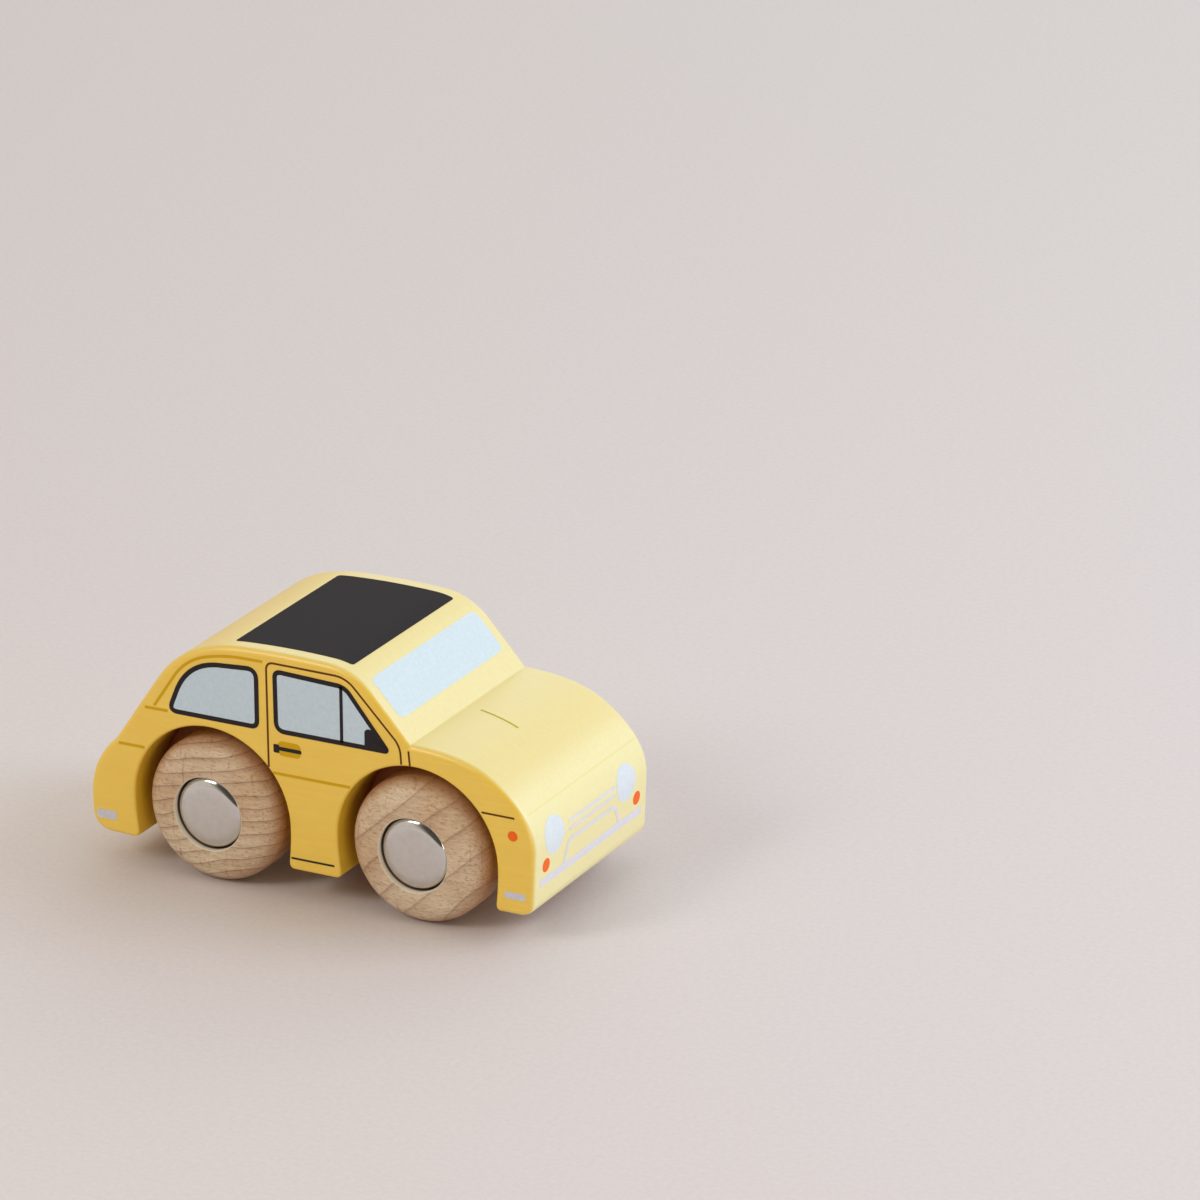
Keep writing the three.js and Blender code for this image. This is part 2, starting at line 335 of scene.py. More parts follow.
def math_node(tree, operation, *values):
    """One sum worked out on values or numbers."""
    node = add_node(tree, "ShaderNodeMath", {"operation": operation})
    for socket, value in zip(node.inputs, values):
        feed(tree, socket, value)
    return node.outputs[0]


def finish(tree, surface, colour, roughness):
    """Links a colour and a roughness to a surface."""
    tree.links.new(colour, surface.inputs["Base Color"])
    tree.links.new(roughness, surface.inputs["Roughness"])


def bump(tree, surface, height, strength, depth):
    """Small relief on a surface, with its depth in metres."""
    node = add_node(tree, "ShaderNodeBump", Strength=strength, Distance=depth, Height=height)
    tree.links.new(node.outputs["Normal"], surface.inputs["Normal"])


# Paint colours: the two ends of the mottle, the painted light on the upper faces and on the nose, the
# painted shade deep in the arches, the wood's grain
PAINT_MOTTLE = ((0.3, (248, 203, 42)), (0.7, (251, 209, 54)))
PAINT_TOP_LIGHT = (234, 212, 119)
PAINT_NOSE_LIGHT = (246, 236, 170)
PAINT_ARCH_SHADE = (176, 84, 12)
PAINT_GRAIN = ((0.35, (226, 190, 92)), (0.62, WHITE))
PAINT_GRAIN_SHARE = 0.10
PAINT_GRAIN_RELIEF = 1.6  # times the relief of the pores


def body_paint():
    """Satin yellow paint with a faint mottle and the grain of the wood just showing through. It is painted
    paler on the upper faces and paler still on the nose as painted light, and dark brown deep in the arches
    as painted shade."""
    material, tree, surface = shader("satin_yellow_paint")
    mottle = noise(tree, object_points(tree), scale=90, detail=3)
    grain = noise(tree, object_points(tree, (70, 1500, 1500)), detail=5, roughness=0.6)
    pores = noise(tree, object_points(tree), scale=1600, detail=2)
    inside = mark(tree, "arch")
    # painted light: the upper faces are mixed towards a paler colour where the crown mark is high
    crown = mix(tree, mark(tree, "crown"), tint(tree, mottle, *PAINT_MOTTLE), PAINT_TOP_LIGHT)
    # painted light: the nose and the windscreen's foot painted paler still
    pale = mix(tree, mark(tree, "nose"), crown, PAINT_NOSE_LIGHT)
    # painted shade: darker brown deep in the arches
    shaded = mix(tree, inside, pale, PAINT_ARCH_SHADE)
    grained = multiply_colour(tree, PAINT_GRAIN_SHARE, shaded, tint(tree, grain, *PAINT_GRAIN))
    finish(tree, surface, grained, map_range(tree, grain, NOISE_RANGE, (0.42, 0.52)))
    lines = math_node(tree, "MULTIPLY", grain, PAINT_GRAIN_RELIEF)
    bump(tree, surface, math_node(tree, "ADD", lines, pores), strength=0.16, depth=0.00006)
    bloom(surface, 1.0)
    tree.links.new(math_node(tree, "SUBTRACT", 1.0, inside), surface.inputs["Coat Weight"])
    return material


# Beech: colours along its streaks, how dark a ring is from its start to its end, and what darkens it
WOOD = ((0.26, (196, 170, 139)), (0.5, (223, 201, 172)), (0.76, (235, 218, 194)))
RING_DARKNESS = ((0.0, 0.10), (0.06, 0.0), (0.60, 0.08), (0.88, 0.34), (0.95, 0.85), (1.0, 0.10))
RING_COLOUR = (142, 94, 62)
FLECKS = ((0.52, WHITE), (0.74, (196, 160, 128)))
RAYS = ((0.66, WHITE), (0.76, (214, 186, 164)))
PATCHES = ((0.38, (228, 203, 177)), (0.62, WHITE))
FLECK_SHARE, RAY_SHARE, PATCH_SHARE = 0.7, 0.7, 0.6
RING_SHAKE = 2.9  # how far noise shakes the rings
RIM_REACH = (12.6, 15.4)  # distances from the axle where the rim's painted shade starts and ends
RIM_SHARE = 0.62
RIM_SHADE_COLOUR = (150, 84, 28)
CUT_SHARE = 0.9  # of the fresh cut's colour in the counterbore
CUT_COLOUR = (240, 230, 212)
MOUTH_DEPTH = (0.9, 1.3)  # depths in the counterbore where the painted shade below its fresh cut starts and ends
MOUTH_SHADE_COLOUR = (96, 62, 38)


def beech(name, centre, grain_degrees, ring_gap, bow, ring_share):
    """Bare turned beech. Rings lie where the height across the grain, bowed by the square of the way
    along it and shaken by noise, passes whole ring gaps; each darkens towards its late edge. Fine
    flecks run along the grain and faint rays across it. The rim is painted browner as painted shade,
    and the counterbore is painted darker below its fresh cut as painted shade."""
    material, tree, surface = shader(name)
    turn = (0, math.radians(grain_degrees), 0)
    move = tuple(-value * MM for value in centre)

    def stretched(*scale):
        return object_points(tree, scale, turn, move)

    place = stretched(1, 1, 1)
    axes = add_node(tree, "ShaderNodeSeparateXYZ", Vector=place).outputs
    along, across = axes["X"], axes["Z"]
    bowed = math_node(tree, "MULTIPLY", along, math_node(tree, "MULTIPLY", along, bow))
    shake = math_node(tree, "MULTIPLY", noise(tree, place, scale=60, detail=2), RING_SHAKE * MM)
    height = math_node(tree, "ADD", math_node(tree, "ADD", across, bowed), shake)
    phase = math_node(tree, "FRACT", math_node(tree, "DIVIDE", height, ring_gap * MM))
    late = ramp(tree, phase, *((stop, (dark,) * 3) for stop, dark in RING_DARKNESS))
    streak = noise(tree, stretched(160, 700, 1300), detail=5, roughness=0.65)
    fleck = noise(tree, stretched(900, 2600, 3200), detail=2, roughness=0.5)
    ray = noise(tree, stretched(1100, 500, 45), detail=1, roughness=0.5)
    patch = noise(tree, place, scale=55, detail=1)
    colour = tint(tree, streak, *WOOD)
    colour = mix(tree, math_node(tree, "MULTIPLY", late, ring_share), colour, RING_COLOUR)
    colour = multiply_colour(tree, FLECK_SHARE, colour, tint(tree, fleck, *FLECKS))
    colour = multiply_colour(tree, RAY_SHARE, colour, tint(tree, ray, *RAYS))
    colour = multiply_colour(tree, PATCH_SHARE, colour, tint(tree, patch, *PATCHES))

    flat = add_node(tree, "ShaderNodeCombineXYZ", X=along, Z=across)
    length = add_node(tree, "ShaderNodeVectorMath", {"operation": "LENGTH"})
    tree.links.new(flat.outputs["Vector"], length.inputs[0])
    distance = length.outputs["Value"]
    rim_reach = [value * MM for value in RIM_REACH]
    # painted shade: the rim darker and browner, warmed like the yellow body's bounce
    rim = map_range(tree, distance, rim_reach, (0, RIM_SHARE), "SMOOTHSTEP")
    colour = mix(tree, rim, colour, RIM_SHADE_COLOUR)
    mouth = ((COUNTERBORE_RADIUS + COUNTERBORE_CHAMFER) * MM, COUNTERBORE_RADIUS * MM)
    cut = map_range(tree, distance, mouth, (0, CUT_SHARE))
    colour = mix(tree, cut, colour, CUT_COLOUR)
    # painted shade: the counterbore darkened deeper in, below the pale fresh cut
    mouth_depth = [value * MM for value in MOUTH_DEPTH]
    deep = map_range(tree, math_node(tree, "ABSOLUTE", axes["Y"]), mouth_depth)
    colour = mix(tree, math_node(tree, "MULTIPLY", cut, deep), colour, MOUTH_SHADE_COLOUR)
    finish(tree, surface, colour, map_range(tree, streak, NOISE_RANGE, (0.50, 0.66)))
    bump(tree, surface, streak, strength=0.16, depth=0.00006)
    return material


def metal(name, colour, roughness, scale, depth):
    """Metal with a roughness that wanders and a fine relief. Its colour is linear."""
    material, tree, surface = shader(name)
    surface.inputs["Metallic"].default_value = 1.0
    points = object_points(tree)
    wander = noise(tree, points, scale)
    dull = tuple(value * 0.93 for value in colour)
    shades = ramp(tree, wander, (0.35, dull), (0.65, colour))
    finish(tree, surface, shades, map_range(tree, wander, NOISE_RANGE, roughness))
    bump(tree, surface, noise(tree, points, scale * 6, detail=2), 0.02, depth)
    return material


def plain_plastic(name, colour, roughness):
    """Cut nylon with a cloudy colour and a fine grain. Its colour is linear."""
    material, tree, surface = shader(name)
    points = object_points(tree)
    cloud = noise(tree, points, scale=300, detail=3)
    dull = tuple(value * 0.9 for value in colour)
    shades = ramp(tree, cloud, (0.3, dull), (0.7, colour))
    finish(tree, surface, shades, map_range(tree, cloud, NOISE_RANGE, roughness))
    bump(tree, surface, noise(tree, points, scale=2500, detail=2), strength=0.1, depth=0.00003)
    return material


def ink(name, colour, roughness=0.5, fleck=0.06, gloss=0.5):
    """Printed ink: one sRGB colour with the fine uneven cover of a pad print on wood."""
    material, tree, surface = shader(name)
    surface.inputs["Specular IOR Level"].default_value = gloss
    bloom(surface, gloss)
    colour = from_srgb(*colour)
    cover = noise(tree, object_points(tree), scale=1400, detail=3, roughness=0.6)
    thin = tuple(value + (1 - value) * fleck / 2 for value in colour)
    full = tuple(value * (1 - fleck) for value in colour)
    shades = ramp(tree, cover, (0.36, full), (0.66, thin))
    finish(tree, surface, shades, map_range(tree, cover, NOISE_RANGE, (roughness - 0.06, roughness + 0.06)))
    bump(tree, surface, noise(tree, object_points(tree, (60, 1300, 1300))), strength=0.14, depth=0.00005)
    return material


paint = body_paint()
plating = metal("bright_plating", (0.71, 0.69, 0.665), (0.08, 0.13), scale=700, depth=0.00001)
drawn_steel = metal("drawn_steel", (0.56, 0.56, 0.57), (0.32, 0.44), scale=900, depth=0.00002)
spring_steel = metal("spring_steel", (0.30, 0.30, 0.32), (0.35, 0.5), scale=900, depth=0.00002)
nylon = plain_plastic("white_nylon", (0.80, 0.78, 0.72), (0.45, 0.55))
INKS = {
    "print_black": ink("black_ink", (46, 41, 43), roughness=0.75, fleck=0.01, gloss=0.05),
    "print_window": ink("pale_blue_ink", (200, 219, 233)),
    "print_mustard": ink("mustard_ink", (214, 166, 6), fleck=0.0, gloss=0.1),
    "print_brown": ink("brown_ink", (104, 54, 10), fleck=0.0, gloss=0.1),
    "print_orange": ink("orange_ink", (249, 105, 4), roughness=0.45, fleck=0.01, gloss=0.15),
    "print_silver": ink("lilac_grey_ink", (212, 211, 221), roughness=0.42, fleck=0.1),
    # painted light: the windscreen ink is a lighter copy of the window ink
    "print_screen_lit": ink("windscreen_ink", (210, 226, 233)),
    # painted light: the lamp ink is a lighter copy of the window ink
    "print_lamp_lit": ink("white_blue_ink", (225, 234, 241), roughness=0.45),
    # painted light: the bar ink is a lighter copy of the silver ink
    "print_bar_lit": ink("white_lilac_ink", (228, 226, 236), roughness=0.42),
    "print_crease": ink("pale_mustard_ink", (190, 174, 6), fleck=0.0, gloss=0.1),
    "print_shut": ink("pale_yellow_ink", (237, 224, 136), fleck=0.0, gloss=0.8),
}
# Inks that are a shade of another finish; the windscreen, lamp and bar inks are lighter copies of the window
# and silver inks, painted light for the lit top and nose
INK_SLOTS = {
    "print_screen_lit": "print_window",
    "print_lamp_lit": "print_window",
    "print_bar_lit": "print_silver",
    "print_crease": "print_mustard",
    "print_shut": "print_mustard",
}


# The block
def skyline():
    """The upper outline of the block from the foot of the nose to the foot of the tail, as [x, z]
    rows: straight runs joined by quadratic curves whose controls lie where the runs meet."""
    scuttle = np.array([nose_x - BONNET_LENGTH, roof_z - CABIN_RISE])
    shoulder = np.array([tail_x + TAIL_SHOULDER[0], underside_z + TAIL_SHOULDER[1]])
    screen_top = np.array([shoulder[0] + REAR_SCREEN_RUN, roof_z - REAR_ROUND_DROP])
    roof_rear = np.array([tail_x + ROOF_START, roof_z - ROOF_CROWN])
    roof_front = np.array([scuttle[0] - ROOF_END, roof_z - ROOF_CROWN])
    crown = np.array([(roof_rear[0] + roof_front[0]) / 2, roof_z + ROOF_CROWN])
    screen_foot = np.array([scuttle[0] - WINDSCREEN_RUN, roof_z - WINDSCREEN_ROUND_DROP])
    bonnet_break = np.array([nose_x - BONNET_BREAK[0], scuttle[1] - BONNET_BREAK[1]])
    bonnet_crown = (bonnet_break[0] - BONNET_BREAK[1] / BONNET_BREAK_SLOPE, scuttle[1])
    nose_top = (nose_x, bonnet_break[1] - BONNET_BREAK[0] * BONNET_BREAK_SLOPE)
    tuck_x = nose_x - NOSE_TUCK
    nose_foot = (tuck_x - NOSE_CORNER, underside_z)
    nose_side = (tuck_x, underside_z + NOSE_CORNER)
    bonnet = bezier(bonnet_break, bonnet_crown, scuttle)
    bonnet = bonnet[np.linalg.norm(bonnet - scuttle, axis=1) > SCUTTLE_ROUND]
    bonnet_end = scuttle + np.array([SCUTTLE_ROUND, 0])
    up_screen = (screen_foot - scuttle) / np.linalg.norm(screen_foot - scuttle)
    scuttle_end = scuttle + SCUTTLE_ROUND * up_screen
    tail_side = (tail_x, underside_z + TAIL_UPRIGHT)
    tail_low = (tail_x, underside_z + TAIL_CORNER)
    tail_foot = (tail_x + TAIL_CORNER, underside_z)
    runs = [
        bezier(nose_foot, (tuck_x, underside_z), nose_side, 12),
        bezier((nose_x, underside_z + NOSE_RISE), nose_top, bonnet_break),
        bonnet,
        bezier(bonnet_end, scuttle, scuttle_end, 6),
        bezier(screen_foot, meet(scuttle, screen_foot, roof_front, crown), roof_front),
        bezier(roof_front, crown, roof_rear, 8),
        bezier(roof_rear, meet(shoulder, screen_top, roof_rear, crown), screen_top),
        bezier(shoulder, (tail_x, shoulder[1] - TAIL_ROUND_DROP), tail_side),
        bezier(tail_low, (tail_x, underside_z), tail_foot, 12),
    ]
    return without_repeats(np.vstack(runs), closed=False)


def arch(x):
    """One wheel arch in the side view, from left to right: a rounded foot, a leg that draws in
    towards it, a half circle over the axle, and the other leg and foot, which mirror the first."""
    reach = arch_radius - ARCH_FLARE
    bend_z = (underside_z + axle_z) / 2
    leg = bezier((-reach, underside_z), (-arch_radius, bend_z), (-arch_radius, axle_z), 24)
    leg = leg[leg[:, 1] > underside_z + ARCH_FOOT]
    foot = bezier((-reach - ARCH_FOOT, underside_z), (-reach, underside_z), leg[0], 10)
    left = np.vstack([foot, leg[1:-1]])
    right = left[::-1] * [-1, 1]
    over = ellipse_arc((0, axle_z), (arch_radius, arch_radius), 180, 0, 64)
    return np.vstack([left, over, right]) + [x, 0]


def block_outlines():
    """The closed side view with the arches cut out, the same points with the arches closed along the
    underside, the edge radius at each point, and whether the point lies in an arch."""
    arches = [arch(axle_x["rear"]), arch(axle_x["front"])]
    top = skyline()
    notched = np.vstack([*arches, top])
    closed = [np.linspace((run[0, 0], underside_z), (run[-1, 0], underside_z), len(run)) for run in arches]
    plain = np.vstack([*closed, top])
    count = sum(map(len, arches))
    in_arch = np.arange(len(notched)) < count
    radius = np.where(in_arch, ARCH_EDGE, EDGE_RADIUS)
    wrapped = np.pad(radius, EDGE_BLEND // 2, mode="wrap")
    blended = np.convolve(wrapped, np.ones(EDGE_BLEND) / EDGE_BLEND, "valid")
    return notched, plain, blended, in_arch


TOP_LIGHT_PLACES, TOP_LIGHT_SHARES = (-34, -8), (0.15, 1.0)  # places along the car, and how much painted light pales the top there
TOP_LIGHT_EDGE = (0.76, 0.2)  # sine of the edge's angle where the painted light on the top starts, and how far it takes to fill
PALE_PLACES = (9, 13, 23.0, 23.2, 42.5, 49)  # places along the windscreen, the bonnet and the nose
PALE_SHARES = (0, 0.3, 0.4, 0, 0, 1)  # and how much more painted light pales the paint there
ARCH_SHADE = (0.05, 1.0, 0.6)  # share of painted shade half way in, at the arch floor's edge and on it


def add_block():
    """The block as rows of its side view across the car. Each side's edge is a quarter round: the
    outline set in by r(1 - sin a) at a depth of r(1 - cos a). The rows step in at the arch floors."""
    notched, plain, radius, in_arch = block_outlines()
    inward = left_normals(notched, closed=True)
    angles = np.linspace(0, math.pi / 2, EDGE_STEPS)[:, None]
    inset = radius * (1 - np.sin(angles))
    depth = radius * (1 - np.cos(angles))
    outline = notched[None] + inward[None] * inset[:, :, None]
    count = len(notched)

    def row(points, y):
        return np.column_stack([points[:, 0], np.broadcast_to(y, count), points[:, 1]])

    right = [row(points, -side_y + y) for points, y in zip(outline, depth)]
    left = [row(points, side_y - y) for points, y in zip(outline[::-1], depth[::-1])]
    floors = [(notched, ARCH_MIDDLE), (notched, arch_floor_y), (plain, arch_floor_y)]
    middle = [row(points, -y) for points, y in floors] + [row(points, y) for points, y in floors[::-1]]
    rows = np.stack([*right, *middle, *left])
    # painted light: how far the paler top reaches over the rounded edges
    over = np.clip((np.sin(angles) - TOP_LIGHT_EDGE[0]) / TOP_LIGHT_EDGE[1], 0, 1)
    over = np.vstack([over, np.ones((len(middle), 1)), over[::-1]])
    # painted light: where along the car the top and the nose are painted paler
    upper = np.where(in_arch, 0, np.interp(notched[:, 0], TOP_LIGHT_PLACES, TOP_LIGHT_SHARES))
    front = np.where(in_arch, 0, np.interp(notched[:, 0], PALE_PLACES, PALE_SHARES))
    # painted shade: how deep in the arches the paint is darkened
    inside = np.pad([*ARCH_SHADE, *ARCH_SHADE[::-1]], EDGE_STEPS)
    marks = {"crown": over * upper, "nose": over * front, "arch": inside[:, None] * in_arch}
    faces = [list(face) for face in grid_faces(len(rows), count, close_columns=True)]
    faces.append(list(range(count)))
    faces.append(list(range((len(rows) - 1) * count, len(rows) * count)))
    block = add_piece("painted_block", rows, faces, paint, marks=marks)
    bore_radius = (liner_high[2] - liner_low[2]) / 2 + BORE_CLEARANCE
    for end in ENDS:
        cut_bore(block, axle_x[end], bore_radius)
    return smooth(block)


def cut_bore(piece, x, radius):
    """Cuts a round bore through the web of the block, along Y, by a boolean that is applied."""
    reach = arch_floor_y + BORE_OVERRUN
    profile = np.array([[0, -reach], [radius, -reach], [radius, reach], [0, reach]])
    cutter = add_piece("bore_cutter", *turned(profile, x, 1, closed=False), paint)
    modifier = piece.modifiers.new("bore", "BOOLEAN")
    modifier.object = cutter
    modifier.solver = "EXACT"
    evaluated = piece.evaluated_get(bpy.context.evaluated_depsgraph_get())
    shape = bpy.data.meshes.new_from_object(evaluated)
    piece.modifiers.clear()
    piece.data = shape
    bpy.data.objects.remove(cutter)


# Turned pieces
def turned(profile, x, side, closed=True):
    """Points and faces of a profile of (radius, distance along Y) turned about an axle: x plus the
    radius times the sine, z plus the radius times the cosine of the angle."""
    angle = np.linspace(0, 2 * math.pi, TURN_STEPS, endpoint=False)[:, None]
    radius, along = profile[None, :, 0], profile[None, :, 1]
    points = np.stack(
        [x + radius * np.sin(angle), side * along + 0 * angle, axle_z + radius * np.cos(angle)], axis=-1
    )
    return points, grid_faces(TURN_STEPS, len(profile), close_rows=True, close_columns=closed)


def wheel_profile():
    """Half section of a wheel: a small round at the back, an elliptical shoulder to the face, a
    chamfered counterbore for the cap and the hole for the axle."""
    radius = axle_z
    floor = cap_foot_y - SIDE_PLAY
    back = (radius - INNER_SHOULDER, wheel_back_y + INNER_SHOULDER)
    face = (radius - SHOULDER[0], wheel_face_y - SHOULDER[1])
    mouth = (COUNTERBORE_RADIUS + COUNTERBORE_CHAMFER, wheel_face_y)
    throat = (COUNTERBORE_RADIUS, wheel_face_y - COUNTERBORE_CHAMFER)
    return np.vstack(
        [
            [[AXLE_HOLE_RADIUS, wheel_back_y]],
            ellipse_arc(back, (INNER_SHOULDER, INNER_SHOULDER), -90, 0),
            ellipse_arc(face, SHOULDER, 0, 90, 24),
            bezier(mouth, (COUNTERBORE_RADIUS, wheel_face_y), throat, 6),
            [[COUNTERBORE_RADIUS, floor], [AXLE_HOLE_RADIUS, floor]],
        ]
    )


def cap_profile():
    """Half section of a push-on cap: a flat face, a rolled rim, a thin wall and a lip turned in."""
    face, foot = cap_face_y, cap_foot_y
    centre = (CAP_RADIUS - CAP_RIM[0], face - CAP_RIM[1])
    inner = (CAP_RIM[0] - CAP_WALL, CAP_RIM[1] - CAP_WALL)
    lip = CAP_RADIUS - CAP_LIP
    return np.vstack(
        [
            [[lip, foot], [CAP_RADIUS - CAP_FOOT_CHAMFER, foot], [CAP_RADIUS, foot + CAP_FOOT_CHAMFER]],
            ellipse_arc(centre, CAP_RIM, 0, 90, 20),
            [[0, face], [0, face - CAP_WALL]],
            ellipse_arc(centre, inner, 90, 0),
            [[CAP_RADIUS - CAP_WALL, foot + CAP_WALL], [lip, foot + CAP_WALL]],
        ]
    )


# Turn of the grain on each wheel's face in degrees, gap between its rings, their bow and their strength
GRAIN = {
    ("front", "right"): (42, 5.4, 1.5, 0.6),
    ("rear", "right"): (13, 2.6, 5.0, 0.85),
    ("front", "left"): (-62, 2.8, -4.0, 0.8),
    ("rear", "left"): (21, 3.1, 3.0, 0.85),
}


def add_wheels():
    """The four wheels, each on its own body, and the four caps, on the axle sets."""
    for end in ENDS:
        for side, sign in SIDES.items():
            centre = (axle_x[end], sign * wheel_face_y, axle_z)
            wood = beech(f"{end}_{side}_beech", centre, *GRAIN[end, side])
            shape = turned(wheel_profile(), axle_x[end], sign)
            wheel = smooth(add_piece(f"turned_wheel_{end}_{side}", *shape, wood))
            mount(wheel, f"wheel_{end}_{side}", "wheel_wood", f"{end}_{side}_wheel")
            shape = turned(cap_profile(), axle_x[end], sign)
            cap = smooth(add_piece(f"plated_cap_{end}_{side}", *shape, plating))
            mount(cap, f"{end}_axle_set", "cap_plating", f"{end}_{side}_hub_cap")


def dress_solids():
    """Finishes for the solids that stay as they are: axles, liners, washers and lock discs."""
    finishes = {"axle": drawn_steel, "liner": nylon, "washer": nylon, "disc": spring_steel}
    for name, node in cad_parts.items():
        material = finishes.get(name.split("_")[-1])
        if material:
            node.data.materials.clear()
            node.data.materials.append(material)


# Printed ink
LIFT = 0.03  # how far the first layer of ink stands on the paint
FILM_SHARE = 0.7  # how much of that the film of ink is thick
HEART_RISE = 8  # height over the axles of a point inside the block, from which all ink faces away
sheets = {slot: [] for slot in INKS}


def rounded(corners, cuts, closed=True, steps=10):
    """A polyline with each corner replaced by a quadratic curve that starts and ends its cut away."""
    corners = np.array(corners, float)
    before = np.roll(corners, 1, axis=0) - corners
    after = np.roll(corners, -1, axis=0) - corners
    runs = []
    for index, (corner, cut) in enumerate(zip(corners, cuts)):
        if cut == 0 or (not closed and index in (0, len(corners) - 1)):
            runs.append(corner[None])
            continue
        start = corner + before[index] / np.linalg.norm(before[index]) * cut
        end = corner + after[index] / np.linalg.norm(after[index]) * cut
        runs.append(bezier(start, corner, end, steps))
    return without_repeats(np.vstack(runs), closed)


def rounded_box(low, high, cut):
    """A rectangle with its four corners rounded."""
    return rounded([low, (high[0], low[1]), high, (low[0], high[1])], (cut,) * 4)


def circle(centre, radius):
    """The points of a circle."""
    return ellipse_arc(centre, (radius, radius), 0, 360, 48)[:-1]


def stroke(path, width, closed=False):
    """The two edges of a line of a given width along a path, as one grid of two rows."""
    reach = left_normals(path, closed)[None] * np.array([0.5, -0.5])[:, None, None] * width
    return path[None] + reach


def on_side(points, side, layer):
    """Side-view points lifted off one side of the block."""
    y = np.full(points.shape[:-1], side * (side_y + layer * LIFT))
    return np.stack([points[..., 0], y, points[..., 1]], axis=-1)


def print_area(slot, points, layer=1):
    """A filled shape, one face, on both sides of the block."""
    for side in SIDES.values():
        sheets[slot].append((on_side(points, side, layer), np.arange(len(points))[None]))


def print_line(slot, path, width, closed=False, layer=1):
    """A line along a path, on both sides of the block."""
    edges = stroke(np.array(path, float), width, closed)
    faces = grid_faces(2, edges.shape[1], close_columns=closed)
    for side in SIDES.values():
        sheets[slot].append((on_side(edges, side, layer).reshape(-1, 3), faces))


# The way along the upper outline, for the ink on the nose, bonnet, windscreen, roof and tail
way = skyline()
way_normal = -left_normals(way, closed=False)
way_length = np.concatenate([[0], np.cumsum(np.linalg.norm(np.diff(way, axis=0), axis=1))])
highest = int(np.argmax(way[:, 1]))


def nose_way(z):
    """Distance along the upper outline to a height on the nose, bonnet or windscreen."""
    return np.interp(z, way[:highest, 1], way_length[:highest])


def tail_way(z):
    """Distance along the upper outline to a height on the rear screen or tail."""
    return np.interp(-np.asarray(z, float), -way[highest:, 1], way_length[highest:])


def top_way(x):
    """Distance along the upper outline to a place on the bonnet, windscreen or roof."""
    return np.interp(-np.asarray(x, float), -way[:, 0], way_length)


def on_top(y, distance, layer):
    """Points across the car at a distance along the upper outline, lifted off the paint."""
    lifted = way + layer * LIFT * way_normal
    x, z = (np.interp(distance, way_length, lifted[:, axis]) for axis in (0, 1))
    return np.stack([x, y, z], axis=-1)


def print_panel(slot, middle, half, way_range, corner):
    """A filled rounded rectangle bent over the upper outline: rows along the outline whose half width
    is cut back at both ends by the corner's circle."""
    low, high = sorted(way_range)
    ends = corner * (1 - np.cos(np.linspace(0, math.pi / 2, 12)))
    count = max(3, int((high - low) / 0.8))
    straight = np.linspace(low + corner, high - corner, count)[1:-1]
    rows = np.concatenate([low + ends, straight, high - ends[::-1]])
    inside = np.minimum(np.minimum(rows - low, high - rows), corner)
    reach = half - corner + np.sqrt(np.maximum(corner**2 - (corner - inside) ** 2, 0))
    across = np.linspace(-1, 1, 9)
    y = middle + reach[:, None] * across[None]
    points = on_top(y, np.repeat(rows[:, None], len(across), axis=1), layer=1)
    sheets[slot].append((points.reshape(-1, 3), grid_faces(len(rows), len(across))))


def print_band(slot, path, width, layer):
    """A line on the upper outline, along a path of (y, distance along the outline)."""
    edges = stroke(path, width)
    points = on_top(edges[..., 0], edges[..., 1], layer)
    sheets[slot].append((points.reshape(-1, 3), grid_faces(2, edges.shape[1])))


# Ink on the sides, at (x, z) in the side view
WINDOW_LINE = 0.98
FINE_LINE = 0.42
CREASE_LINE = 0.58
QUARTER_WINDOW = rounded(
    [(-30.6, 34.75), (-10.75, 34.75), (-10.5, 46.75), (-26.0, 45.6)], (1.9, 1.4, 2.3, 7.2), steps=16
)
DOOR_WINDOW = rounded(
    [(-6.45, 34.8), (18.4, 34.85), (9.2, 46.5), (-6.35, 47.05)], (2.0, 1.0, 1.7, 1.4)
)
DOOR_GAP = rounded(
    [(-8.45, 26.9), (-8.2, 48.65), (9.5, 48.5), (21.0, 36.5), (21.17, 32.75)],
    (0, 1.7, 2.6, 1.8, 0),
    closed=False,
)
GUTTER = rounded(
    [(-34.05, 35.1), (-26.4, 46.1), (-17.5, 48.45), (-9.0, 48.55)], (0, 5.0, 4.0, 0), closed=False, steps=14
)
MIRROR = rounded(
    [(13.2, 34.95), (17.9, 34.95), (18.1, 35.4), (16.1, 38.1), (14.3, 38.85), (13.3, 38.4)],
    (0.3, 0.3, 0.3, 0.6, 0.5, 0.5),
)

# Slot, path, width and layer of each line: the bar in the door's window, the gaps round the door and
# the bonnet, the sill, the gutter with its foot, and the creases of the tail and the door
SIDE_LINES = (
    ("print_black", [(8.35, 46.5), (8.25, 40.0), (8.15, 34.9)], 0.72, 2),
    ("print_brown", DOOR_GAP, FINE_LINE, 1),
    ("print_brown", [(22.85, 35.8), (22.95, 34.3), (23.07, 32.8)], FINE_LINE, 1),
    ("print_brown", [(38.5, 26.15), (42.0, 26.15), (45.6, 26.15)], 0.4, 1),
    ("print_black", [(-4.1, 8.65), (0.7, 8.67), (5.5, 8.7)], FINE_LINE, 1),
    ("print_mustard", GUTTER, CREASE_LINE, 1),
    ("print_mustard", [(-36.2, 34.45), (-33.5, 34.47), (-31.0, 34.5)], CREASE_LINE, 1),
    ("print_mustard", [(-42.6, 25.8), (-39.5, 25.8), (-36.7, 25.8)], CREASE_LINE, 1),
    ("print_mustard", [(-7.55, 25.85), (1.0, 25.87), (9.6, 25.9)], CREASE_LINE, 1),
)

